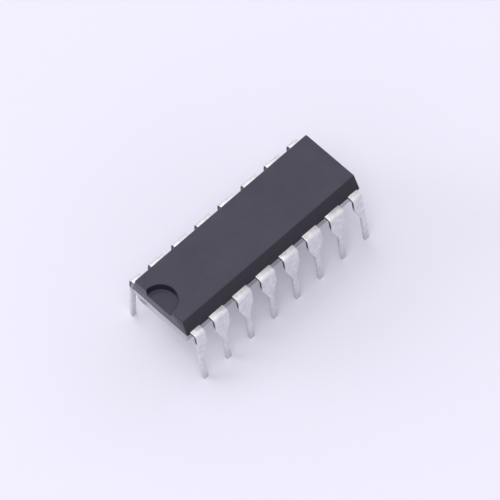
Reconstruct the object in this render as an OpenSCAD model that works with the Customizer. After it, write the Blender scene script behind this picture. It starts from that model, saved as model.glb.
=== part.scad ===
// Dual in-line integrated circuit chip with sixteen leads, for through holes or a socket.
// X runs along the body, with the pin 1 notch at its low end, and Z is up.
// The origin is the middle of the footprint, on the plane that the lead tips stand on.

/* [Moulding] */
// Width of the moulding at its parting line
body_width = 6.35; // [6:0.05:7]
// Distance from the last lead's centre line to the end of the moulding, at the parting line
end_margin = 0.55; // [0.5:0.01:1]
// Height of the moulding above its parting line
upper_height = 1.55; // [1.4:0.05:2]
// Height of the moulding below its parting line
lower_height = 1.7; // [1.3:0.05:2]
// How far each long side leans in between the parting line and the top or the underside
side_draft = 0.47; // [0.1:0.01:0.7]
// How far each end leans in between the parting line and the top
end_draft = 0.07; // [0.05:0.01:0.3]
// How far each end leans in between the parting line and the underside
end_draft_under = 0.25; // [0.05:0.01:0.4]
// Radius of the edges round the top and the underside
edge_radius = 0.1; // [0.08:0.01:0.15]

/* [Pin 1 notch] */
// Radius of the round notch at the top face
notch_radius = 1.48; // [0.8:0.02:1.9]
// Distance from the end of the top face to the notch's centre
notch_inset = 0.12; // [0:0.02:0.3]
// Depth of the notch below the top face
notch_depth = 0.7; // [0.4:0.05:1]
// How much narrower the notch is at its floor, so that it leaves the mould
notch_draft = 0.06; // [0.02:0.01:0.15]

/* [Ejector marks] */
// Radius of the two round ejector marks on the underside
ejector_radius = 0.9; // [0.5:0.05:1.5]
// Depth of the ejector marks
ejector_depth = 0.08; // [0.04:0.01:0.2]
// Distance from the middle of the underside to each ejector mark
ejector_distance = 6.35; // [3:0.05:7.5]

/* [Leads] */
// Distance between the centre lines of neighbouring leads
pitch = 2.54; // [2.4:0.02:2.8]
// Thickness of the lead frame
strip = 0.25; // [0.15:0.01:0.35]
// Width of the narrow leg that goes into the board
leg_width = 0.46; // [0.36:0.02:0.56]
// Width of the shoulder
shoulder_width = 1.52; // [1.1:0.02:1.78]
// How far the outer face of the bend stands out from the moulding
shoulder_reach = 0.635; // [0.5:0.005:1]
// Inside radius of the bend
bend_radius = 0.08; // [0.05:0.01:0.25]
// Angle by which each leg leans outwards
splay = 4.5; // [0:0.5:8]
// Height of the lead frame's middle plane above the lead tips
frame_height = 5.85; // [5.4:0.05:6.6]
// Height of the narrow leg, up to the taper
narrow_height = 3.1; // [2.5:0.05:3.3]
// Height of the taper between the narrow leg and the shoulder's width
taper_height = 1.45; // [0.6:0.05:1.6]

/* [Lead fingers inside the moulding] */
// How far the shoulder's width runs on inside the moulding
root_depth = 0.45; // [0.3:0.01:0.6]
// Width of the fingers that run to the die
finger_width = 0.4; // [0.3:0.01:0.5]
// How deep in the moulding each finger turns towards the die, from the middle leads to the corner ones
turn_depths = [0.7, 0.75, 1.1, 1.9]; // [0.6:0.05:2.2]
// Gap between the finger ends and the paddle
finger_gap = 0.35; // [0.2:0.01:0.5]

/* [Paddle and die] */
// Length of the paddle that carries the die
paddle_length = 4.6; // [4:0.1:5]
// Width of the paddle
paddle_width = 3; // [2.6:0.1:3.4]
// Width of the two bars that held the paddle in the lead frame
tie_width = 0.4; // [0.3:0.02:0.5]
// Length of the slope by which the bars step down to the paddle
slope_length = 0.5; // [0.3:0.05:0.7]
// Length of the die
die_length = 2.2; // [1.6:0.1:3]
// Width of the die
die_width = 1.6; // [1.2:0.1:2]
// Thickness of the die
die_thickness = 0.28; // [0.2:0.01:0.35]
// Thickness of the adhesive under the die
attach_thickness = 0.03; // [0.02:0.005:0.05]

/* [Bond wires] */
// Diameter of the bond wires
wire_diameter = 0.05; // [0.04:0.005:0.06]
// Height of a wire's loop above the die and the finger
loop_height = 0.36; // [0.25:0.01:0.5]
// Radius of the ball that a wire starts with on the die
ball_radius = 0.07; // [0.05:0.005:0.09]
// Height of that ball
ball_height = 0.04; // [0.02:0.005:0.06]
// Distance from the die's edge to the middle of a ball
pad_inset = 0.12; // [0.1:0.01:0.2]
// Distance from a finger's end to the foot of its wire
foot_inset = 0.2; // [0.12:0.01:0.3]

/* [Hidden] */
$fn = 64;

// The leads stand in four like quarters. A rank counts them in one quarter, from the
// middle of the body outwards, and the last rank is the corner lead.
ranks = 4;
row = 2 * ranks;
leads = 2 * row;
corner_rank = ranks - 1;

body_length = 2 * (rank_x(corner_rank) + end_margin);
frame_top = frame_height + strip / 2;
frame_under = frame_height - strip / 2;
body_top = frame_height + upper_height;
body_under = frame_height - lower_height;

// The paddle sits lower than the fingers by the die and its adhesive, so that the
// wires start and end at one height.
downset = die_thickness + attach_thickness;
paddle_top = frame_top - downset;

// The bend's outer face meets the leg at the shoulder's reach.
bend_outer = bend_radius + strip;
bend_y = body_width / 2 + shoulder_reach - bend_outer * cos(splay);
bend_z = frame_under - bend_radius;

// Where fingers end along the paddle, as shares of its length and width, and where wires
// start on the die, as shares of its own, by rank
finger_shares = [0.18, 0.44, 0.4, 0.18];
pad_shares = [0.16, 0.36, 0.27, 0.1];
// Ranks below this one end beside the paddle's long side, and the others beside its end
first_end_rank = 2;

// Reach of the cutting shapes past what they cut
past = 1;

function rank_x(rank) = (rank + 0.5) * pitch;
function unit(v) = v / norm(v);

// A lead's row runs along the front from the notch end and comes back along the rear.
function in_front(number) = number <= row;
function place_in_row(number) = in_front(number) ? number : leads + 1 - number;
function at_notch_end(number) = place_in_row(number) <= ranks;
function rank_of(number) =
    at_notch_end(number) ? ranks - place_in_row(number) : place_in_row(number) - ranks - 1;

function turn_point(rank) = [rank_x(rank), body_width / 2 - turn_depths[rank]];
function finger_end(rank) =
    rank < first_end_rank
    ? [finger_shares[rank] * paddle_length, paddle_width / 2 + finger_gap]
    : [paddle_length / 2 + finger_gap, finger_shares[rank] * paddle_width];
function wire_foot(rank) =
    finger_end(rank) + foot_inset * unit(turn_point(rank) - finger_end(rank));
function wire_start(rank) =
    rank < first_end_rank
    ? [pad_shares[rank] * die_length, die_width / 2 - pad_inset]
    : [die_length / 2 - pad_inset, pad_shares[rank] * die_width];

// Extrudes a YZ outline along X between two values
module along_x(from, to) {
    translate([from, 0, 0])
        rotate([90, 0, 90])
            linear_extrude(to - from) children();
}

// Extrudes an XZ outline along Y, the same way to both sides
module along_y(length) {
    translate([0, length / 2, 0])
        rotate([90, 0, 0])
            linear_extrude(length) children();
}

// Turns a lead's quarter into the one where a numbered lead stands
module in_quarter(number) {
    mirror([at_notch_end(number) ? 1 : 0, 0, 0])
        mirror([0, in_front(number) ? 1 : 0, 0])
            children();
}

// A convex outline whose corners are given as [x, y, radius]
module rounded_outline(corners) {
    count = len(corners);
    spots = [
        for (i = [0 : count - 1])
            let (
                corner = [corners[i][0], corners[i][1]],
                before = corners[(i + count - 1) % count],
                after = corners[(i + 1) % count],
                back = unit([before[0], before[1]] - corner),
                forth = unit([after[0], after[1]] - corner),
                half = acos(back * forth) / 2,
                radius = corners[i][2]
            )
            [
                corner + back * radius / tan(half),
                corner + forth * radius / tan(half),
                corner + unit(back + forth) * radius / sin(half),
                radius
            ]
    ];
    polygon([for (spot = spots) each spot[3] > 0 ? [spot[0], spot[1]] : [spot[0]]]);
    for (spot = spots)
        if (spot[3] > 0) translate(spot[2]) circle(spot[3]);
}

// One half above and one below the parting line, each with a draft of its own
module drafted_section(half, draft_over, draft_under) {
    rounded_outline([
        [half, frame_height, 0],
        [half - draft_over, body_top, edge_radius],
        [draft_over - half, body_top, edge_radius],
        [-half, frame_height, 0],
        [draft_under - half, body_under, edge_radius],
        [half - draft_under, body_under, edge_radius]
    ]);
}

module moulding() {
    intersection() {
        along_x(-body_length / 2 - past, body_length / 2 + past)
            drafted_section(body_width / 2, side_draft, side_draft);
        along_y(body_width + 2 * past)
            drafted_section(body_length / 2, end_draft, end_draft_under);
    }
}

module notch() {
    translate([end_draft + notch_inset - body_length / 2, 0, body_top]) {
        translate([0, 0, -notch_depth])
            cylinder(r1 = notch_radius - notch_draft, r2 = notch_radius, h = notch_depth);
        cylinder(r = notch_radius, h = past);
    }
}

module ejector_marks() {
    for (side = [-1, 1])
        translate([side * ejector_distance, 0, body_under - past])
            cylinder(r = ejector_radius, h = past + ejector_depth);
}

module body() {
    color("#504e5a")
        difference() {
            moulding();
            notch();
            ejector_marks();
            for (number = [1 : leads]) {
                lead_form(number);
                wire_form(number);
            }
            paddle_form();
            attach_form();
            die_form();
        }
}

// Side view of a lead's strip: the shoulder, the bend and the splayed leg, round the
// bend's centre, so that neighbouring stretches share their edge exactly
module bent_strip() {
    straight = bend_y - (body_width / 2 - root_depth);
    leg_length = (bend_z + past) / cos(splay);
    reach = 2 * bend_outer;
    translate([bend_y, bend_z]) {
        translate([-straight, bend_radius]) square([straight, strip]);
        difference() {
            circle(bend_outer);
            circle(bend_radius);
            translate([-reach, -reach]) square([reach, 2 * reach]);
            rotate(splay) translate([-reach, -reach]) square([2 * reach, reach]);
        }
        rotate(splay) translate([bend_radius, -leg_length]) square([strip, leg_length]);
    }
}

// Front view of a lead. A corner lead has its shoulder on the inner side only.
module lead_front(rank) {
    leg = leg_width / 2;
    inner = shoulder_width / 2;
    outer = rank == corner_rank ? leg : inner;
    wide_from = narrow_height + taper_height;
    top = frame_top + past;
    translate([rank_x(rank), 0])
        polygon([
            [-leg, 0],
            [leg, 0],
            [leg, narrow_height],
            [outer, wide_from],
            [outer, top],
            [-inner, top],
            [-inner, wide_from],
            [-leg, narrow_height]
        ]);
}

// A straight stretch of a finger between two points
module finger_run(from, to) {
    way = to - from;
    translate(from)
        rotate(atan2(way[1], way[0]))
            translate([0, -finger_width / 2])
                square([norm(way), finger_width]);
}

module finger(rank) {
    turn = turn_point(rank);
    translate([0, 0, frame_under])
        linear_extrude(strip) {
            finger_run([rank_x(rank), body_width / 2 - root_depth / 2], turn);
            translate(turn) circle(finger_width / 2);
            finger_run(turn, finger_end(rank));
        }
}

module lead_form(number) {
    rank = rank_of(number);
    reach = rank_x(rank) + shoulder_width;
    in_quarter(number) {
        intersection() {
            along_x(rank_x(rank) - shoulder_width, reach) bent_strip();
            along_y(2 * (body_width + frame_height)) lead_front(rank);
        }
        finger(rank);
    }
}

module lead(number) {
    color("#cdcbd2") lead_form(number);
}

// The paddle and its two bars, stepped down from the fingers, and cut off at the body's ends
module paddle_form() {
    edge = paddle_length / 2;
    level = edge + slope_length;
    end = body_length / 2 + past;
    intersection() {
        moulding();
        union() {
            translate([-edge, -paddle_width / 2, paddle_top - strip])
                cube([paddle_length, paddle_width, strip]);
            along_y(tie_width)
                polygon([
                    [-end, frame_top],
                    [-level, frame_top],
                    [-edge, paddle_top],
                    [edge, paddle_top],
                    [level, frame_top],
                    [end, frame_top],
                    [end, frame_under],
                    [level, frame_under],
                    [edge, paddle_top - strip],
                    [-edge, paddle_top - strip],
                    [-level, frame_under],
                    [-end, frame_under]
                ]);
        }
    }
}

module die_paddle() {
    color("#b87348") paddle_form();
}

module on_paddle(thickness) {
    translate([-die_length / 2, -die_width / 2, 0])
        cube([die_length, die_width, thickness]);
}

module attach_form() {
    translate([0, 0, paddle_top]) on_paddle(attach_thickness);
}

module die_attach() {
    color("#c9c7bd") attach_form();
}

module die_form() {
    translate([0, 0, paddle_top + attach_thickness]) on_paddle(die_thickness);
}

module die() {
    color("#5d6470") die_form();
}

// A wire rises from its ball on the die and comes down on its finger along one arc
module wire_form(number) {
    rank = rank_of(number);
    start = wire_start(rank);
    way = wire_foot(rank) - start;
    span = norm(way);
    arc_radius = (span * span / 4 + loop_height * loop_height) / (2 * loop_height);
    in_quarter(number)
        translate([start[0], start[1], frame_top])
            rotate(atan2(way[1], way[0])) {
                cylinder(r = ball_radius, h = ball_height);
                intersection() {
                    translate([span / 2, 0, loop_height - arc_radius])
                        rotate([90, 0, 0])
                            rotate_extrude()
                                translate([arc_radius, 0]) circle(d = wire_diameter);
                    translate([-span / 2, -span, 0])
                        cube([2 * span, 2 * span, 2 * loop_height]);
                }
            }
}

module bond_wire(number) {
    color("#e0b64c") wire_form(number);
}

body();
for (number = [1 : leads])
    lead(number);
die_paddle();
die_attach();
die();
for (number = [1 : leads])
    bond_wire(number);
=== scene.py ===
"""A sixteen-lead dual in-line chip: moulding, leads, die and wires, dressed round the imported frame.

Lengths are metres in the frame's own axes: X along the moulding with the notch at its low end,
Z up from the plane that the lead tips stand on.
"""

import logging
import math
from dataclasses import dataclass, field
from enum import Enum
from typing import Any, Mapping, Sequence

import bmesh
import bpy
from mathutils import Euler, Matrix, Vector


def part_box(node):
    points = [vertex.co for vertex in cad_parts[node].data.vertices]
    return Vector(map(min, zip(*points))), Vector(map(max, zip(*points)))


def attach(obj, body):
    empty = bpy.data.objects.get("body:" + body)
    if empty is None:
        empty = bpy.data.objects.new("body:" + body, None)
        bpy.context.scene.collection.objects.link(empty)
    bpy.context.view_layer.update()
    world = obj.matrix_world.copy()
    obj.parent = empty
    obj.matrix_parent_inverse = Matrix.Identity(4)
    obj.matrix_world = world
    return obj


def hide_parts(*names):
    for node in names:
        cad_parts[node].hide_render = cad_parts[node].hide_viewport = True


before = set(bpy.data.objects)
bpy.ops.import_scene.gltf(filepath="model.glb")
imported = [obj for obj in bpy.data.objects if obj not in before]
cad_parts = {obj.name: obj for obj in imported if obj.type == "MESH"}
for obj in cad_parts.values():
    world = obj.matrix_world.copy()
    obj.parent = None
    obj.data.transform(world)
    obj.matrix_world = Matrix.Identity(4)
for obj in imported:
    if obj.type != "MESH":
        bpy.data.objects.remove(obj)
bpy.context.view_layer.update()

LOG = logging.getLogger("chip")
ROOT = "root"
MM = 0.001
RIGHT_ANGLE = math.radians(90)
# Thickness of the lead frame
STRIP = 0.25 * MM
# How strong each finer octave of a grain is, against the one before
OCTAVE_STRENGTH = 0.55

Colour = tuple[float, float, float, float]
# Where a mask is nought and where it is one
Band = tuple[float, float]


class Row(Enum):
    """The two rows of leads, by the sign of Y on their side."""

    FRONT = -1
    REAR = 1


class End(Enum):
    """The two ends of the moulding, by the sign of X there."""

    NOTCH = -1
    PLAIN = 1


class Slot(Enum):
    """Material slots of the record."""

    MOULDING = "moulding"
    TIN = "tinned_lead"
    COPPER = "copper_frame"
    ADHESIVE = "silver_adhesive"
    SILICON = "silicon"
    GOLD = "gold_wire"


class Detail(Enum):
    """How many finer octaves a grain has."""

    SMOOTH = 1.0
    FINE = 2.0
    RICH = 3.0


class Value:
    """A node's output, on which sums and products add Math nodes."""

    def __init__(self, graph: "Graph", socket: bpy.types.NodeSocket | None) -> None:
        """Wraps a socket of a graph, or none where a node has no output."""
        self.graph = graph
        self.socket = socket

    def out(self, name: str) -> "Value":
        """Another output of the same node, by its name or identifier."""
        named = (s for s in self.socket.node.outputs if name in (s.identifier, s.name))
        return Value(self.graph, next(s for s in named if s.enabled))

    def maths(self, operation: str, *others: Any) -> "Value":
        """Adds a Math node, with this as its first operand."""
        inputs = dict(enumerate([self, *others]))
        return self.graph.node("ShaderNodeMath", {"operation": operation}, inputs)

    def __add__(self, other: Any) -> "Value":
        """Sum."""
        return self.maths("ADD", other)

    __radd__ = __add__

    def __sub__(self, other: Any) -> "Value":
        """Difference."""
        return self.maths("SUBTRACT", other)

    def __rsub__(self, other: Any) -> "Value":
        """Difference from a number."""
        return self.graph.node("ShaderNodeMath", {"operation": "SUBTRACT"}, {0: other, 1: self})

    def __mul__(self, other: Any) -> "Value":
        """Product."""
        return self.maths("MULTIPLY", other)

    __rmul__ = __mul__

    def __truediv__(self, other: Any) -> "Value":
        """Quotient."""
        return self.maths("DIVIDE", other)

    def __gt__(self, other: Any) -> "Value":
        """One where this is greater, and nought elsewhere."""
        return self.maths("GREATER_THAN", other)

    def __lt__(self, other: Any) -> "Value":
        """One where this is less, and nought elsewhere."""
        return self.maths("LESS_THAN", other)

    def __abs__(self) -> "Value":
        """Size without sign."""
        return self.maths("ABSOLUTE")

    def ramp(self, none: float, full: float) -> "Value":
        """A mask that is nought up to one value, one past another, and straight between."""
        inputs = {"Value": self, "From Min": none, "From Max": full}
        return self.graph.node("ShaderNodeMapRange", {"clamp": True}, inputs)

    def axis(self, name: str) -> "Value":
        """One of a vector's axes, X, Y or Z."""
        return self.graph.node("ShaderNodeSeparateXYZ", {}, {0: self}).out(name)


class Graph:
    """A node tree that expressions and one node method build."""

    def __init__(self, tree: bpy.types.NodeTree) -> None:
        """Starts on an empty tree."""
        self.tree = tree
        tree.nodes.clear()

    def node(
        self,
        kind: str,
        settings: Mapping[str, Any] | None = None,
        inputs: Mapping[int | str, Any] | None = None,
    ) -> Value:
        """Adds a node.

        Args:
            kind: The node's type.
            settings: Its properties, which are set first. A list under items fills the node's
                own list.
            inputs: Values or links of its sockets, by name, identifier or place. A list links
                each of its values to the one socket.

        Returns:
            The node's first output.
        """
        made = self.tree.nodes.new(kind)
        for name, value in (settings or {}).items():
            if name == "items":
                self._fill_items(made, value)
            else:
                setattr(made, name, value)
        for key, value in (inputs or {}).items():
            for single in value if isinstance(value, list) else [value]:
                self._feed(self._socket(made, key), single)
        return Value(self, made.outputs[0] if made.outputs else None)

    @staticmethod
    def _fill_items(made: bpy.types.Node, items: Sequence[Any]) -> None:
        """Gives an Index Switch its cases or a Capture Attribute its values.

        Args:
            made: The node.
            items: One for each case, or the type and name of each captured value.
        """
        if made.bl_idname == "GeometryNodeIndexSwitch":
            while len(made.index_switch_items) < len(items):
                made.index_switch_items.new()
        else:
            for socket_type, name in items:
                made.capture_items.new(socket_type, name)

    @staticmethod
    def _socket(made: bpy.types.Node, key: int | str) -> bpy.types.NodeSocket:
        """Finds a node's input.

        Args:
            made: The node.
            key: The input's place, identifier or name.

        Returns:
            The input.
        """
        if isinstance(key, int):
            return made.inputs[key]
        for socket in made.inputs:
            if socket.identifier == key:
                return socket
        return next(s for s in made.inputs if s.name == key and s.enabled)

    def _feed(self, socket: bpy.types.NodeSocket, value: Any) -> None:
        """Links a value to a socket, or sets the socket to it.

        Args:
            socket: The socket.
            value: A node's output, or what the socket itself holds.
        """
        if isinstance(value, Value):
            self.tree.links.new(value.socket, socket)
        else:
            socket.default_value = value

    def vector(self, x: Any, y: Any, z: Any) -> Value:
        """A vector from three values."""
        return self.node("ShaderNodeCombineXYZ", {}, {0: x, 1: y, 2: z})

    def mix_colours(self, factor: Any, low: Any, high: Any) -> Value:
        """A colour between two, by a factor from nought to one."""
        inputs = {"Factor_Float": factor, "A_Color": low, "B_Color": high}
        return self.node("ShaderNodeMix", {"data_type": "RGBA"}, inputs).out("Result_Color")


def rgb(red: float, green: float, blue: float) -> Colour:
    """A solid colour, in linear light."""
    return (red, green, blue, 1.0)


class Finish:
    """A surface finish, which makes its own material."""

    name: str

    def make(self) -> bpy.types.Material:
        """Builds the material.

        Returns:
            The new material.
        """
        material = bpy.data.materials.new(self.name)
        material.use_nodes = True
        graph = Graph(material.node_tree)
        shader = graph.node("ShaderNodeBsdfPrincipled", {}, self.shade(graph))
        graph.node("ShaderNodeOutputMaterial", {}, {"Surface": shader})
        return material

    def shade(self, graph: Graph) -> dict[str, Any]:
        """Adds the finish's own nodes.

        Args:
            graph: The material's graph.

        Returns:
            The shader's inputs.
        """
        raise NotImplementedError

    @staticmethod
    def place(graph: Graph) -> Value:
        """Object coordinates, in metres."""
        return graph.node("ShaderNodeTexCoord").out("Object")

    @staticmethod
    def grain(graph: Graph, place: Value, size: float, detail: Detail = Detail.FINE) -> Value:
        """Noise from nought to one.

        Args:
            graph: The material's graph.
            place: The coordinates that it lies on.
            size: How wide its lumps are, about.
            detail: How fine it gets within a lump.

        Returns:
            The noise.
        """
        inputs = {
            "Vector": place,
            "Scale": 1 / size,
            "Detail": detail.value,
            "Roughness": OCTAVE_STRENGTH,
        }
        return graph.node("ShaderNodeTexNoise", {"noise_dimensions": "3D"}, inputs)


@dataclass(frozen=True)
class MouldedEpoxy(Finish):
    """Filled epoxy compound out of a spark-eroded mould: charcoal, dull and evenly pitted."""

    name: str = "moulded_epoxy"
    base: Colour = rgb(0.038, 0.035, 0.056)
    worn: Colour = rgb(0.053, 0.049, 0.074)
    # Painted shade: upright faces take this darker colour for the shade on the moulding's sides
    skin: Colour = rgb(0.011, 0.009, 0.018)
    # By how level a face is, from 0 where it is upright to 1 where it is flat
    steep_band: Band = (0.9, 0.5)
    cloud_size: float = 2.2 * MM
    flake_size: float = 0.16 * MM
    pit_size: float = 0.055 * MM
    cloud_tone: float = 0.5
    flake_tone: float = 0.3
    pit_tone: float = 0.2
    tone_band: Band = (0.36, 0.64)
    flake_relief: float = 0.25
    pit_relief: float = 0.75
    pit_depth: float = 0.004 * MM
    pit_strength: float = 0.7
    roughness: float = 0.50
    roughness_swing: float = 0.14
    roughness_band: Band = (0.35, 0.65)
    # By how far a face turns from the eye, from 0 where it faces it to 1 at the outline
    facing_blend: float = 0.5
    glancing_band: Band = (0.40, 0.72)
    glancing_roughness: float = 0.16
    glaze_band: Band = (0.56, 0.80)
    glaze_roughness: float = 0.12
    specular: float = 0.4

    def shade(self, graph: Graph) -> dict[str, Any]:
        """Charcoal with faint clouds of tone, and pits from the mould's eroded face.

        Upright faces are painted darker, as shade on the moulding's sides, and mirror the table at a
        glancing angle. Level faces keep the paler mottle and stay dull.

        Args:
            graph: The material's graph.

        Returns:
            The shader's inputs.
        """
        place = self.place(graph)
        clouds = self.grain(graph, place, self.cloud_size, Detail.RICH)
        flakes = self.grain(graph, place, self.flake_size)
        pits = self.grain(graph, place, self.pit_size, Detail.RICH)
        mottle = clouds * self.cloud_tone + flakes * self.flake_tone + pits * self.pit_tone
        paled = graph.mix_colours(mottle.ramp(*self.tone_band), self.base, self.worn)
        normal = graph.node("ShaderNodeNewGeometry").out("True Normal")
        steep = abs(normal.axis("Z")).ramp(*self.steep_band)
        facing = graph.node("ShaderNodeLayerWeight", {}, {"Blend": self.facing_blend}).out("Facing")
        glancing = facing.ramp(*self.glancing_band) * steep
        dull = flakes.ramp(*self.roughness_band) * self.roughness_swing + self.roughness
        relief = pits * self.pit_relief + flakes * self.flake_relief
        bump = {"Strength": self.pit_strength, "Distance": self.pit_depth, "Height": relief}
        return {
            # Painted shade: upright faces are darkened for the shade on the moulding's sides
            "Base Color": graph.mix_colours(steep, paled, self.skin),
            "Roughness": dull * (1 - glancing) + glancing * self.glancing_roughness,
            "Specular IOR Level": self.specular,
            "Coat Weight": facing.ramp(*self.glaze_band) * steep,
            "Coat Roughness": self.glaze_roughness,
            "Normal": graph.node("ShaderNodeBump", {}, bump),
        }


@dataclass(frozen=True)
class DullTin(Finish):
    """Matt tin plate on a stamped lead, with dark sheared faces where the dam bar was cut."""

    name: str = "dull_tin"
    plate: Colour = rgb(0.80, 0.79, 0.80)
    cloud_size: float = 0.5 * MM
    tarnish: Colour = rgb(0.66, 0.65, 0.68)
    tarnish_band: Band = (0.35, 0.7)
    speck_size: float = 0.07 * MM
    speckled: Colour = rgb(0.56, 0.55, 0.56)
    speckle_band: Band = (0.50, 0.64)
    speckle_share: float = 0.5
    speck_depth: float = 0.002 * MM
    speck_strength: float = 0.5
    # Heights between which the leg gets darker, downwards towards its foot
    dulled_heights: Band = (1.3 * MM, 0.0)
    dulled: Colour = rgb(0.60, 0.59, 0.63)
    # Heights between which the shear marks set in, upwards, on faces that look along the row
    sheared_heights: Band = (4.75 * MM, 5.05 * MM)
    sheared_band: Band = (0.75, 0.9)
    sheared: Colour = rgb(0.13, 0.12, 0.13)
    sheared_roughness: float = 0.2
    roughness: float = 0.42
    roughness_swing: float = 0.16
    roughness_band: Band = (0.3, 0.7)

    def shade(self, graph: Graph) -> dict[str, Any]:
        """Plate with soft clouds of tarnish and a fine crystal grain.

        Args:
            graph: The material's graph.

        Returns:
            The shader's inputs.
        """
        place = self.place(graph)
        height = place.axis("Z")
        normal = graph.node("ShaderNodeNewGeometry").out("True Normal")
        sideways = abs(normal.axis("X")).ramp(*self.sheared_band)
        torn = sideways * height.ramp(*self.sheared_heights)
        clouds = self.grain(graph, place, self.cloud_size, Detail.RICH)
        specks = self.grain(graph, place, self.speck_size)
        speckle = specks.ramp(*self.speckle_band) * self.speckle_share
        plate = graph.mix_colours(clouds.ramp(*self.tarnish_band), self.plate, self.tarnish)
        plate = graph.mix_colours(speckle, plate, self.speckled)
        # The leg gets darker towards its foot
        plate = graph.mix_colours(height.ramp(*self.dulled_heights), plate, self.dulled)
        roughness = clouds.ramp(*self.roughness_band) * self.roughness_swing + self.roughness
        bump = {"Strength": self.speck_strength, "Distance": self.speck_depth, "Height": specks}
        return {
            "Base Color": graph.mix_colours(torn, plate, self.sheared),
            "Metallic": 1.0,
            "Roughness": roughness + torn * self.sheared_roughness,
            "Normal": graph.node("ShaderNodeBump", {}, bump),
        }


@dataclass(frozen=True)
class PlainMetal(Finish):
    """Bare metal inside the moulding."""

    name: str = "bare_copper"
    base: Colour = rgb(0.48, 0.22, 0.11)
    dull: Colour = rgb(0.30, 0.13, 0.07)
    dull_band: Band = (0.4, 0.7)
    lump_size: float = 0.3 * MM
    roughness: float = 0.35
    roughness_swing: float = 0.2
    # By the distance from the middle of the body along it, up to its end faces
    oxide_band: Band = (9.3 * MM, 9.4 * MM)
    oxide: Colour = rgb(0.060, 0.050, 0.060)

    def shade(self, graph: Graph) -> dict[str, Any]:
        """Metal with soft dull patches, oxidised where a cut end meets the air.

        Args:
            graph: The material's graph.

        Returns:
            The shader's inputs.
        """
        place = self.place(graph)
        lumps = self.grain(graph, place, self.lump_size, Detail.RICH)
        bare = graph.mix_colours(lumps.ramp(*self.dull_band), self.base, self.dull)
        aired = abs(place.axis("X")).ramp(*self.oxide_band)
        return {
            "Base Color": graph.mix_colours(aired, bare, self.oxide),
            "Metallic": 1 - aired,
            "Roughness": lumps * self.roughness_swing + self.roughness,
        }


@dataclass(frozen=True)
class CuredAdhesive(Finish):
    """Silver-filled epoxy under the die."""

    name: str = "silver_epoxy"
    base: Colour = rgb(0.58, 0.57, 0.53)
    flake: Colour = rgb(0.40, 0.39, 0.37)
    flake_size: float = 0.03 * MM
    flake_band: Band = (0.4, 0.6)
    metal_band: Band = (0.45, 0.55)
    roughness: float = 0.5

    def shade(self, graph: Graph) -> dict[str, Any]:
        """Grey resin full of bright flakes.

        Args:
            graph: The material's graph.

        Returns:
            The shader's inputs.
        """
        flakes = self.grain(graph, self.place(graph), self.flake_size, Detail.SMOOTH)
        return {
            "Base Color": graph.mix_colours(flakes.ramp(*self.flake_band), self.base, self.flake),
            "Metallic": flakes.ramp(*self.metal_band),
            "Roughness": self.roughness,
        }


@dataclass(frozen=True)
class PatternedSilicon(Finish):
    """A die's face: polished silicon, with blocks of circuit as plain tiles."""

    name: str = "patterned_silicon"
    base: Colour = rgb(0.10, 0.12, 0.15)
    block: Colour = rgb(0.24, 0.25, 0.20)
    block_size: float = 0.22 * MM
    block_scatter: float = 0.4
    # By the distance from a block's middle, as a share of the spacing
    gap_band: Band = (0.28, 0.34)
    metallic: float = 0.6
    roughness: float = 0.18
    roughness_swing: float = 0.1

    def shade(self, graph: Graph) -> dict[str, Any]:
        """Dark polished ground with faint square blocks.

        Args:
            graph: The material's graph.

        Returns:
            The shader's inputs.
        """
        tiling = {
            "Vector": self.place(graph),
            "Scale": 1 / self.block_size,
            "Randomness": self.block_scatter,
        }
        cells = graph.node("ShaderNodeTexVoronoi", {"distance": "CHEBYCHEV"}, tiling)
        gap = cells.out("Distance").ramp(*self.gap_band)
        return {
            "Base Color": graph.mix_colours(gap, self.block, self.base),
            "Metallic": self.metallic,
            "Roughness": gap * self.roughness_swing + self.roughness,
        }


@dataclass(frozen=True)
class PaleTable(Finish):
    """The pale lavender surface that the chip stands on."""

    name: str = "pale_table"
    base: Colour = rgb(0.86, 0.845, 0.955)
    cloud: Colour = rgb(0.8, 0.8, 0.9)
    cloud_size: float = 40 * MM
    cloud_share: float = 0.02
    roughness: float = 0.9
    specular: float = 0.1

    def shade(self, graph: Graph) -> dict[str, Any]:
        """A dull, nearly even tone.

        Args:
            graph: The material's graph.

        Returns:
            The shader's inputs.
        """
        clouds = self.grain(graph, self.place(graph), self.cloud_size, Detail.SMOOTH)
        return {
            "Base Color": graph.mix_colours(clouds * self.cloud_share, self.base, self.cloud),
            "Roughness": self.roughness,
            "Specular IOR Level": self.specular,
        }


def coat(mesh: bpy.types.Mesh, finish: bpy.types.Material) -> None:
    """Gives a mesh one material all over."""
    mesh.materials.clear()
    mesh.materials.append(finish)


def add_object(name: str, data: bpy.types.ID) -> bpy.types.Object:
    """Puts a mesh, a light or a camera into the scene.

    Args:
        name: The new object's name.
        data: What it holds.

    Returns:
        The object.
    """
    made = bpy.data.objects.new(name, data)
    bpy.context.scene.collection.objects.link(made)
    return made


def add_piece(name: str, mesh: bpy.types.Mesh, finish: bpy.types.Material) -> bpy.types.Object:
    """Puts a mesh into the scene as a piece with one material."""
    coat(mesh, finish)
    return add_object(name, mesh)


def settle(piece: bpy.types.Object) -> None:
    """Works an object's modifiers into its mesh and removes them.

    Args:
        piece: The object.
    """
    bpy.context.view_layer.update()
    graph = bpy.context.evaluated_depsgraph_get()
    mesh = bpy.data.meshes.new_from_object(piece.evaluated_get(graph))
    piece.modifiers.clear()
    piece.data = mesh


def lofted_mesh(name: str, outlines: Sequence[Sequence[Vector]]) -> bpy.types.Mesh:
    """Skins outlines that lie over each other into a closed solid.

    Args:
        name: The mesh's name.
        outlines: Points of each outline, counter-clockwise from above, from the lowest up. All
            have as many points.

    Returns:
        The mesh.
    """
    solid = bmesh.new()
    loops = [[solid.verts.new(point) for point in outline] for outline in outlines]
    count = len(loops[0])
    for lower, upper in zip(loops, loops[1:]):
        for i in range(count):
            j = (i + 1) % count
            solid.faces.new([lower[i], lower[j], upper[j], upper[i]])
    solid.faces.new(list(reversed(loops[0])))
    solid.faces.new(loops[-1])
    mesh = bpy.data.meshes.new(name)
    solid.to_mesh(mesh)
    solid.free()
    return mesh


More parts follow.
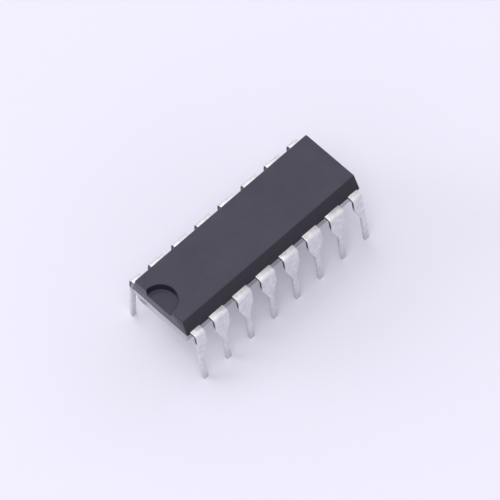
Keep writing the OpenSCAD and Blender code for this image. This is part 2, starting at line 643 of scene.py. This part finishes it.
def shade_by_angle(mesh: bpy.types.Mesh, limit: float) -> None:
    """Shades a mesh smooth, apart from its edges.

    Args:
        mesh: The mesh.
        limit: The angle between two faces from which their edge stays sharp.
    """
    work = bmesh.new()
    work.from_mesh(mesh)
    for face in work.faces:
        face.smooth = True
    for edge in work.edges:
        edge.smooth = len(edge.link_faces) == 2 and edge.calc_face_angle() < limit
    work.to_mesh(mesh)
    work.free()


def quarter_angles(steps: int) -> list[float]:
    """Angles from nought to a right angle, in equal steps."""
    return [RIGHT_ANGLE * step / steps for step in range(steps + 1)]


@dataclass
class Moulding:
    """The black body, lofted from rounded outlines and cut for its notch and ejector marks."""

    strip: float = STRIP
    side_draft: float = 0.47 * MM
    end_draft: float = 0.07 * MM
    end_draft_under: float = 0.25 * MM
    edge_radius: float = 0.10 * MM
    under_radius: float = 0.03 * MM
    corner_radius: float = 0.08 * MM
    # Flash is the thin rib that the mould leaves along its parting line
    flash_out: float = 0.010 * MM
    flash_half: float = 0.014 * MM
    edge_steps: int = 6
    corner_steps: int = 8
    notch_radius: float = 1.48 * MM
    notch_inset: float = 0.12 * MM
    notch_depth: float = 0.70 * MM
    notch_draft: float = 0.06 * MM
    notch_segments: int = 96
    floor_round: float = 0.10 * MM
    rim_round: float = 0.045 * MM
    mark_radius: float = 0.90 * MM
    mark_depth: float = 0.08 * MM
    mark_distance: float = 6.35 * MM
    tie_width: float = 0.40 * MM
    tie_pocket: float = 0.10 * MM
    # Reach of a cutter past the block
    past: float = 0.5 * MM
    crease: float = math.radians(32)

    def __post_init__(self) -> None:
        """Takes the body's box and its parting line from the frame."""
        self.low, self.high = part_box("body")
        self.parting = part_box("lead_4")[1].z - self.strip / 2

    def ring(self, height: float, inset: float) -> list[Vector]:
        """One rounded outline of the body.

        Args:
            height: Its height.
            inset: How far it lies inside the drafted faces.

        Returns:
            Its points, counter-clockwise from above.
        """
        whole, end_draft = self.high.z - self.parting, self.end_draft
        if height < self.parting:
            whole, end_draft = self.parting - self.low.z, self.end_draft_under
        share = abs(height - self.parting) / whole
        half_x = self.high.x - end_draft * share - inset
        half_y = self.high.y - self.side_draft * share - inset
        radius = self.corner_radius
        points = []
        for turn, (sign_x, sign_y) in enumerate([(1, 1), (-1, 1), (-1, -1), (1, -1)]):
            centre = Vector((sign_x * (half_x - radius), sign_y * (half_y - radius), height))
            for step in range(self.corner_steps + 1):
                angle = RIGHT_ANGLE * (turn + step / self.corner_steps)
                points.append(centre + radius * Vector((math.cos(angle), math.sin(angle), 0)))
        return points

    def rings(self) -> list[tuple[float, float]]:
        """The outlines that the block is lofted from.

        Returns:
            Their heights and insets, from the underside to the top.
        """
        angles = quarter_angles(self.edge_steps)
        turns = [(1 - math.sin(angle), 1 - math.cos(angle)) for angle in angles]
        small, radius = self.under_radius, self.edge_radius
        under = [(self.low.z + small * up, small * inset) for up, inset in reversed(turns)]
        over = [(self.high.z - radius * down, radius * inset) for down, inset in turns]
        half, out = self.flash_half, self.flash_out
        flash = [
            (self.parting - 2 * half, 0.0),
            (self.parting - half, -out),
            (self.parting + half, -out),
            (self.parting + 2 * half, 0.0),
        ]
        return under + flash + over

    def turned_cutter(
        self, name: str, centre: Vector, profile: Sequence[Vector]
    ) -> bpy.types.Object:
        """A turned solid that cuts the block.

        Args:
            name: The cutter's name.
            centre: The foot of its upright axis.
            profile: Radius and height of its outline's points, from the bottom up.

        Returns:
            The cutter.
        """
        turns = [math.tau * i / self.notch_segments for i in range(self.notch_segments)]
        circles = [
            [
                Vector((
                    centre.x + point.x * math.cos(turn),
                    centre.y + point.x * math.sin(turn),
                    centre.z + point.y,
                ))
                for turn in turns
            ]
            for point in profile
        ]
        return add_object(name, lofted_mesh(name, circles))

    def notch_cutter(self) -> bpy.types.Object:
        """The notch's tool: drafted wall, small round at its floor, and a rounded rim.

        Returns:
            The cutter.
        """
        end = self.low.x + self.end_draft
        centre = Vector((end + self.notch_inset, 0, self.high.z - self.notch_depth))
        angles = quarter_angles(self.edge_steps)
        floor_radius = self.notch_radius - self.notch_draft
        floor = [
            Vector((
                floor_radius - self.floor_round * (1 - math.sin(angle)),
                self.floor_round * (1 - math.cos(angle)),
            ))
            for angle in angles
        ]
        rim_foot = self.notch_depth - self.rim_round
        rim = [
            Vector((
                self.notch_radius + self.rim_round * (1 - math.cos(angle)),
                rim_foot + self.rim_round * math.sin(angle),
            ))
            for angle in angles
        ]
        mouth = Vector((rim[-1].x, self.notch_depth + self.past))
        return self.turned_cutter("notch_cutter", centre, [*floor, *rim, mouth])

    def mark_cutter(self, end: End) -> bpy.types.Object:
        """The tool of one ejector mark.

        Args:
            end: The end that the mark is nearer to.

        Returns:
            The cutter.
        """
        centre = Vector((end.value * self.mark_distance, 0, self.low.z - self.past))
        heights = (0, self.past + self.mark_depth)
        profile = [Vector((self.mark_radius, height)) for height in heights]
        return self.turned_cutter(f"mark_cutter_{end.name.lower()}", centre, profile)

    def tie_cutter(self, end: End) -> bpy.types.Object:
        """The tool that clears the moulding's end face where a tie bar's cut end stands in it.

        Args:
            end: The end of the moulding.

        Returns:
            The cutter.
        """
        length = self.tie_pocket + self.past
        middle = abs(self.low.x) - self.tie_pocket + length / 2
        solid = bmesh.new()
        bmesh.ops.create_cube(solid, size=1.0)
        solid.transform(Matrix.Diagonal((length, self.tie_width, self.strip, 1.0)))
        solid.transform(Matrix.Translation((end.value * middle, 0, self.parting)))
        mesh = bpy.data.meshes.new("tie_cutter")
        solid.to_mesh(mesh)
        solid.free()
        return add_object(f"tie_cutter_{end.name.lower()}", mesh)

    def build(self, finish: bpy.types.Material) -> bpy.types.Object:
        """Makes the body.

        Args:
            finish: Its material.

        Returns:
            The body piece, riding on the frame.
        """
        outlines = [self.ring(height, inset) for height, inset in self.rings()]
        piece = add_piece("moulded_body", lofted_mesh("moulding_block", outlines), finish)
        cutters = [self.notch_cutter()]
        for end in End:
            cutters += [self.mark_cutter(end), self.tie_cutter(end)]
        for cutter in cutters:
            cut = piece.modifiers.new(cutter.name, "BOOLEAN")
            cut.operation = "DIFFERENCE"
            cut.solver = "EXACT"
            cut.object = cutter
        settle(piece)
        for cutter in cutters:
            bpy.data.objects.remove(cutter)
        shade_by_angle(piece.data, self.crease)
        coat(piece.data, finish)
        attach(piece, ROOT)
        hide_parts("body")
        LOG.info("%s: %d faces", piece.name, len(piece.data.polygons))
        return piece


@dataclass
class LeadTree:
    """The Geometry Nodes tree that forms one lead, in the quarter of positive X and Y.

    A flat path runs out of the moulding, turns down round the bend and leans outwards to the tip.
    A rounded strip follows it and is widened above the taper. The finger inside the moulding is
    a strip of its own, joined to it. Signs then turn the lead into its own quarter.
    """

    # Names of its inputs for a lead's sizes
    sizes: tuple[str, ...]
    bend_steps: int = 14
    edge_steps: int = 3
    # Index of the bend among the path's points, and how near a point's index must come to it
    bend_point: float = 1.0
    near: float = 0.1
    # Height under which the strip's points belong to its tip
    tip_height: float = 0.3 * MM
    # Thickness of the finger, as a share of the strip's, so that no two faces lie in one plane
    finger_thickness: float = 0.96
    crease: float = math.radians(40)
    tree: bpy.types.NodeTree = field(init=False)

    def __post_init__(self) -> None:
        """Builds the tree."""
        self.tree = bpy.data.node_groups.new("lead_tree", "GeometryNodeTree")
        face = self.tree.interface
        face.new_socket("Geometry", in_out="INPUT", socket_type="NodeSocketGeometry")
        for name in self.sizes:
            face.new_socket(name, in_out="INPUT", socket_type="NodeSocketFloat")
        face.new_socket("Finish", in_out="INPUT", socket_type="NodeSocketMaterial")
        face.new_socket("Geometry", in_out="OUTPUT", socket_type="NodeSocketGeometry")
        self.graph = Graph(self.tree)
        self.given = self.graph.node("NodeGroupInput")
        joined = self.graph.node(
            "GeometryNodeMeshBoolean",
            {"operation": "UNION", "solver": "EXACT"},
            {"Mesh 2": [self.formed_strip(), self.finger()]},
        )
        self.finish(joined)

    def size(self, name: str) -> Value:
        """One of the tree's inputs."""
        return self.given.out(name)

    def flat(self) -> Value:
        """Height of the strip's middle plane where it leaves the moulding."""
        return self.size("Bend Z") + self.size("Bend Radius")

    def path(self, points: Sequence[Value]) -> Value:
        """A curve through points.

        Args:
            points: Vectors, in order.

        Returns:
            The curve.
        """
        graph = self.graph
        line = graph.node("GeometryNodeMeshLine", {"mode": "OFFSET"}, {"Count": len(points)})
        index = graph.node("GeometryNodeInputIndex")
        cases = {"Index": index, **{str(i): point for i, point in enumerate(points)}}
        spot = graph.node(
            "GeometryNodeIndexSwitch", {"data_type": "VECTOR", "items": list(points)}, cases
        )
        placed = graph.node("GeometryNodeSetPosition", {}, {"Geometry": line, "Position": spot})
        return graph.node("GeometryNodeMeshToCurve", {}, {"Mesh": placed})

    def leg_y(self, height: Any) -> Value:
        """Y of the leg's middle line.

        Args:
            height: The height to find it at.

        Returns:
            Its Y there.
        """
        splay = self.size("Splay")
        out = self.size("Bend Y") + self.size("Bend Radius") * splay.maths("COSINE")
        top = self.size("Bend Z") + self.size("Bend Radius") * splay.maths("SINE")
        return out + (top - height) * splay.maths("TANGENT")

    def bent_path(self) -> Value:
        """The middle line of the lead outside the moulding, with its bend rounded.

        Returns:
            The curve.
        """
        graph = self.graph
        x, flat = self.size("Lead X"), self.flat()
        heights = [flat, self.size("Taper Top"), self.size("Taper Foot"), 0.0]
        points = [graph.vector(x, self.size("Root Y"), flat)]
        points += [graph.vector(x, self.leg_y(height), height) for height in heights]
        index = graph.node("GeometryNodeInputIndex")
        at_bend = index.maths("COMPARE", self.bend_point, self.near)
        inputs = {
            "Curve": self.path(points),
            "Count": self.bend_steps,
            "Radius": at_bend * self.size("Bend Radius"),
        }
        rounded = graph.node("GeometryNodeFilletCurve", {"mode": "POLY"}, inputs)
        return graph.node("GeometryNodeSetCurveNormal", {"mode": "Z_UP"}, {"Curve": rounded})

    def formed_strip(self) -> Value:
        """The part of the lead outside the moulding and its root.

        Returns:
            Its mesh.
        """
        graph = self.graph
        height = graph.node("GeometryNodeInputPosition").axis("Z")
        foot, top = self.size("Taper Foot"), self.size("Taper Top")
        share = ((height - foot) / (top - foot)).maths("MAXIMUM", 0.0).maths("MINIMUM", 1.0)
        captured = graph.node(
            "GeometryNodeCaptureAttribute",
            {"domain": "POINT", "items": [("FLOAT", "Widening")]},
            {"Geometry": self.bent_path(), "Widening": share},
        )
        swept = graph.node(
            "GeometryNodeCurveToMesh",
            {},
            {"Curve": captured, "Profile Curve": self.profile("Leg Width"), "Fill Caps": True},
        )
        leg_half = self.size("Leg Width") / 2
        outside = graph.node("GeometryNodeInputPosition").axis("X") > self.size("Lead X")
        outwards = (self.size("Outer Half") - leg_half) * outside
        inwards = (self.size("Inner Half") - leg_half) * (1 - outside)
        shift = graph.vector((outwards - inwards) * captured.out("Widening"), 0.0, 0.0)
        widened = graph.node("GeometryNodeSetPosition", {}, {"Geometry": swept, "Offset": shift})
        return self.level_tip(widened)

    def level_tip(self, geometry: Value) -> Value:
        """Brings the tip's points level with the plane that the chip stands on.

        Args:
            geometry: The strip's mesh.

        Returns:
            The mesh with a level tip.
        """
        graph = self.graph
        place = graph.node("GeometryNodeInputPosition")
        low = place.axis("Z") < self.tip_height
        level = graph.vector(place.axis("X"), place.axis("Y"), 0.0)
        inputs = {"Geometry": geometry, "Selection": low, "Position": level}
        return graph.node("GeometryNodeSetPosition", {}, inputs)

    def profile(self, width: str, thickness: float = 1.0, rounded: bool = True) -> Value:
        """The strip's section.

        Args:
            width: The input that holds its width.
            thickness: Its thickness as a share of the strip's.
            rounded: Whether its edges are rounded.

        Returns:
            The section's curve.
        """
        graph = self.graph
        section = graph.node(
            "GeometryNodeCurvePrimitiveQuadrilateral",
            {"mode": "RECTANGLE"},
            {"Width": self.size(width), "Height": self.size("Strip") * thickness},
        )
        if not rounded:
            return section
        return graph.node(
            "GeometryNodeFilletCurve",
            {"mode": "POLY"},
            {"Curve": section, "Count": self.edge_steps, "Radius": self.size("Edge Radius")},
        )

    def finger(self) -> Value:
        """The finger that runs on inside the moulding to the die.

        Returns:
            Its mesh.
        """
        graph = self.graph
        flat = self.flat()
        start = self.size("Root Y") + self.size("Strip")
        points = [
            graph.vector(self.size("Lead X"), start, flat),
            graph.vector(self.size("Turn X"), self.size("Turn Y"), flat),
            graph.vector(self.size("End X"), self.size("End Y"), flat),
        ]
        upright = graph.node(
            "GeometryNodeSetCurveNormal", {"mode": "Z_UP"}, {"Curve": self.path(points)}
        )
        section = self.profile("Finger Width", self.finger_thickness, rounded=False)
        inputs = {"Curve": upright, "Profile Curve": section, "Fill Caps": True}
        return graph.node("GeometryNodeCurveToMesh", {}, inputs)

    def finish(self, geometry: Value) -> None:
        """Turns the lead into its quarter, shades it and gives it its material.

        Args:
            geometry: The lead's mesh, in the quarter of positive X and Y.
        """
        graph = self.graph
        place = graph.node("GeometryNodeInputPosition")
        sign_x, sign_y = self.size("Sign X"), self.size("Sign Y")
        turned = graph.vector(place.axis("X") * sign_x, place.axis("Y") * sign_y, place.axis("Z"))
        moved = graph.node(
            "GeometryNodeSetPosition", {}, {"Geometry": geometry, "Position": turned}
        )
        inside_out = (sign_x * sign_y) < 0.0
        right_way = graph.node(
            "GeometryNodeFlipFaces", {}, {"Mesh": moved, "Selection": inside_out}
        )
        smooth = graph.node(
            "GeometryNodeSetShadeSmooth",
            {"domain": "FACE"},
            {"Geometry": right_way, "Shade Smooth": True},
        )
        corner = graph.node("GeometryNodeInputMeshEdgeAngle") > self.crease
        creased = graph.node(
            "GeometryNodeSetShadeSmooth",
            {"domain": "EDGE"},
            {"Geometry": smooth, "Selection": corner, "Shade Smooth": False},
        )
        real = graph.node("GeometryNodeRealizeInstances", {}, {"Geometry": creased})
        dressed = graph.node(
            "GeometryNodeSetMaterial", {}, {"Geometry": real, "Material": self.given.out("Finish")}
        )
        graph.node("NodeGroupOutput", {}, {"Geometry": dressed})

    def identifier(self, name: str) -> str:
        """The identifier of a named input."""
        items = self.tree.interface.items_tree
        return next(i.identifier for i in items if i.in_out == "INPUT" and i.name == name)


@dataclass
class LeadFrame:
    """The sixteen leads, counted along the front row and back along the rear row.

    A rank counts the leads of one quarter from the middle of the body outwards.
    """

    ranks: int = 4
    pitch: float = 2.54 * MM
    strip: float = STRIP
    leg_width: float = 0.46 * MM
    shoulder_width: float = 1.52 * MM
    shoulder_reach: float = 0.635 * MM
    bend_radius: float = 0.08 * MM
    splay: float = math.radians(4.5)
    narrow_height: float = 3.10 * MM
    taper_height: float = 1.45 * MM
    root_depth: float = 0.45 * MM
    edge_radius: float = 0.020 * MM
    finger_width: float = 0.40 * MM
    finger_gap: float = 0.35 * MM
    paddle_length: float = 4.6 * MM
    paddle_width: float = 3.0 * MM
    # By rank: how deep a finger turns, and where it ends as a share of the paddle's side or end
    turn_depths: tuple[float, ...] = (0.70 * MM, 0.75 * MM, 1.10 * MM, 1.90 * MM)
    finger_shares: tuple[float, ...] = (0.18, 0.44, 0.40, 0.18)
    # Ranks below this one end beside the paddle's long side, and the others beside its end
    first_end_rank: int = 2

    def __post_init__(self) -> None:
        """Takes the moulding's side and the strip's level from the frame."""
        self.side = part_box("body")[1].y
        self.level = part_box("lead_4")[1].z - self.strip / 2
        self.in_row = len(End) * self.ranks
        self.leads = len(Row) * self.in_row
        self.tree = LeadTree(tuple(self.inputs(1)))

    def quarter(self, number: int) -> tuple[int, End, Row]:
        """Where a lead stands.

        Args:
            number: The lead's number.

        Returns:
            Its rank, its end and its row.
        """
        row = Row.FRONT if number <= self.in_row else Row.REAR
        place = number if row is Row.FRONT else self.leads + 1 - number
        if place <= self.ranks:
            return self.ranks - place, End.NOTCH, row
        return place - self.ranks - 1, End.PLAIN, row

    def finger_end(self, rank: int) -> tuple[float, float]:
        """Where a finger ends, beside the paddle.

        Args:
            rank: The lead's rank.

        Returns:
            X and Y of its end.
        """
        share = self.finger_shares[rank]
        if rank < self.first_end_rank:
            return share * self.paddle_length, self.paddle_width / 2 + self.finger_gap
        return self.paddle_length / 2 + self.finger_gap, share * self.paddle_width

    def inputs(self, number: int) -> dict[str, float]:
        """What the tree needs to form a lead.

        Args:
            number: The lead's number.

        Returns:
            Values of the tree's inputs, by their names.
        """
        rank, end, row = self.quarter(number)
        x = (rank + 0.5) * self.pitch
        outer_radius = self.bend_radius + self.strip
        corner = rank == self.ranks - 1
        end_x, end_y = self.finger_end(rank)
        return {
            "Lead X": x,
            "Root Y": self.side - self.root_depth,
            "Bend Y": self.side + self.shoulder_reach - outer_radius * math.cos(self.splay),
            "Bend Z": self.level - self.strip / 2 - self.bend_radius,
            "Bend Radius": self.bend_radius + self.strip / 2,
            "Splay": self.splay,
            "Taper Top": self.narrow_height + self.taper_height,
            "Taper Foot": self.narrow_height,
            "Strip": self.strip,
            "Leg Width": self.leg_width,
            "Inner Half": self.shoulder_width / 2,
            "Outer Half": self.leg_width / 2 if corner else self.shoulder_width / 2,
            "Edge Radius": self.edge_radius,
            "Finger Width": self.finger_width,
            "Turn X": x,
            "Turn Y": self.side - self.turn_depths[rank],
            "End X": end_x,
            "End Y": end_y,
            "Sign X": float(end.value),
            "Sign Y": float(row.value),
        }

    def build_lead(self, number: int, finish: bpy.types.Material) -> bpy.types.Object:
        """Forms one lead.

        Args:
            number: The lead's number.
            finish: Its material.

        Returns:
            The lead piece, riding on the frame.
        """
        piece = add_piece(f"formed_lead_{number}", bpy.data.meshes.new("blank"), finish)
        former = piece.modifiers.new("former", "NODES")
        former.node_group = self.tree.tree
        for name, value in self.inputs(number).items():
            former[self.tree.identifier(name)] = value
        former[self.tree.identifier("Finish")] = finish
        settle(piece)
        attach(piece, ROOT)
        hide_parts(f"lead_{number}")
        LOG.info("%s: %d faces", piece.name, len(piece.data.polygons))
        return piece

    def build(self, finish: bpy.types.Material) -> list[bpy.types.Object]:
        """Forms all the leads."""
        return [self.build_lead(number, finish) for number in range(1, self.leads + 1)]


@dataclass
class Inside:
    """The pieces sealed in the moulding, which keep their solids and get their finishes."""

    wires: int = 16
    copper: PlainMetal = PlainMetal()
    gold: PlainMetal = PlainMetal(
        name="drawn_gold",
        base=rgb(0.75, 0.48, 0.09),
        dull=rgb(0.6, 0.36, 0.07),
        roughness=0.2,
    )

    def dress(self, node: str, finish: bpy.types.Material) -> None:
        """Gives a node of the frame its finish.

        Args:
            node: The node's name.
            finish: Its material.
        """
        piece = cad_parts[node]
        coat(piece.data, finish)
        LOG.info("%s: dressed", node)

    def build(self) -> None:
        """Dresses the paddle, the die and its adhesive, and the bond wires."""
        self.dress("die_paddle", self.copper.make())
        self.dress("die_attach", CuredAdhesive().make())
        self.dress("die", PatternedSilicon().make())
        gold = self.gold.make()
        for number in range(1, self.wires + 1):
            self.dress(f"bond_wire_{number}", gold)


@dataclass(frozen=True)
class Lamp:
    """A round soft lamp, by its place on the sky in degrees and its power in watts."""

    name: str
    azimuth: float
    elevation: float
    power: float


@dataclass
class Studio:
    """The table, the soft light and the camera."""

    table_half: float = 0.6
    sky: Colour = rgb(1.0, 0.985, 1.03)
    horizon_strength: float = 1.28
    zenith_strength: float = 0.36
    # By the height of a place on the sky, from 0 at the horizon to 1 at the zenith
    zenith_band: Band = (0.2, 0.85)
    backdrop_strength: float = 0.90
    lamp_size: float = 0.5
    lamp_distance: float = 0.9
    lamps: tuple[Lamp, ...] = (
        Lamp("front_lamp", 225.0, 65.0, 1.80),
        Lamp("rear_lamp", 90.0, 65.0, 1.26),
        Lamp("low_lamp", 135.0, 20.0, 1.85),
    )
    # The camera's aim, and its angles in degrees, from a fit to the photograph
    aim: Vector = field(default_factory=lambda: Vector((0.280, 0.014, 3.612)) * MM)
    azimuth: float = -38.863
    elevation: float = 58.956
    roll: float = -6.037
    distance: float = 586.9 * MM
    # Focal length and width of the picture, in pixels
    focal_px: float = 7427.6
    picture_px: float = 500.0
    # In millimetres, as Blender counts it
    sensor_width: float = 36.0
    clip_start: float = 0.01
    clip_end: float = 10.0

    @staticmethod
    def direction(azimuth: float, elevation: float) -> Vector:
        """The unit vector towards a place on the sky, with azimuth from +X towards +Y."""
        a, e = math.radians(azimuth), math.radians(elevation)
        return Vector((math.cos(a) * math.cos(e), math.sin(a) * math.cos(e), math.sin(e)))

    def add_table(self) -> None:
        """The floor that the chip stands on."""
        half = self.table_half
        mesh = bpy.data.meshes.new("table_top")
        corners = [(-half, -half, 0), (half, -half, 0), (half, half, 0), (-half, half, 0)]
        mesh.from_pydata(corners, [], [(0, 1, 2, 3)])
        add_piece("table_top", mesh, PaleTable().make())

    def add_sky(self) -> None:
        """A sky that brightens to its horizon, and that the eye and gloss see as an even one."""
        world = bpy.data.worlds.new("sky")
        world.use_nodes = True
        graph = Graph(world.node_tree)
        ray = graph.node("ShaderNodeLightPath")
        seen = ray.out("Is Camera Ray").maths("MAXIMUM", ray.out("Is Glossy Ray"))
        high = graph.node("ShaderNodeTexCoord").out("Generated").axis("Z").ramp(*self.zenith_band)
        shade = high * (self.zenith_strength - self.horizon_strength) + self.horizon_strength
        strength = seen * self.backdrop_strength + (1 - seen) * shade
        sky = graph.node("ShaderNodeBackground", {}, {"Color": self.sky, "Strength": strength})
        graph.node("ShaderNodeOutputWorld", {}, {"Surface": sky})
        bpy.context.scene.world = world

    def add_lamp(self, lamp: Lamp) -> None:
        """Hangs a lamp, turned to the chip.

        Args:
            lamp: The lamp.
        """
        light = bpy.data.lights.new(lamp.name, "AREA")
        light.shape = "DISK"
        light.size = self.lamp_size
        light.energy = lamp.power
        holder = add_object(lamp.name, light)
        towards = self.direction(lamp.azimuth, lamp.elevation)
        holder.location = towards * self.lamp_distance
        holder.rotation_euler = towards.to_track_quat("Z", "Y").to_euler()

    def add_camera(self) -> None:
        """The camera at the photograph's angle."""
        camera = bpy.data.cameras.new("camera")
        camera.sensor_fit = "HORIZONTAL"
        camera.sensor_width = self.sensor_width
        camera.lens = self.focal_px / self.picture_px * self.sensor_width
        camera.clip_start = self.clip_start
        camera.clip_end = self.clip_end
        holder = add_object("camera", camera)
        tilt = Euler((RIGHT_ANGLE - math.radians(self.elevation), 0, math.radians(self.azimuth)))
        turn = tilt.to_matrix() @ Matrix.Rotation(math.radians(self.roll), 3, "Z")
        eye = self.aim + turn @ Vector((0, 0, self.distance))
        holder.matrix_world = Matrix.Translation(eye) @ turn.to_4x4()
        bpy.context.scene.camera = holder

    def build(self) -> None:
        """Sets the stage."""
        self.add_table()
        self.add_sky()
        for lamp in self.lamps:
            self.add_lamp(lamp)
        self.add_camera()
        bpy.context.scene.view_settings.view_transform = "Standard"


def main() -> None:
    """Builds the chip piece by piece, and then its stage."""
    logging.basicConfig(level=logging.INFO, format="%(name)s: %(message)s")
    Moulding().build(MouldedEpoxy().make())
    LeadFrame().build(DullTin().make())
    Inside().build()
    Studio().build()


if __name__ == "__main__":
    main()
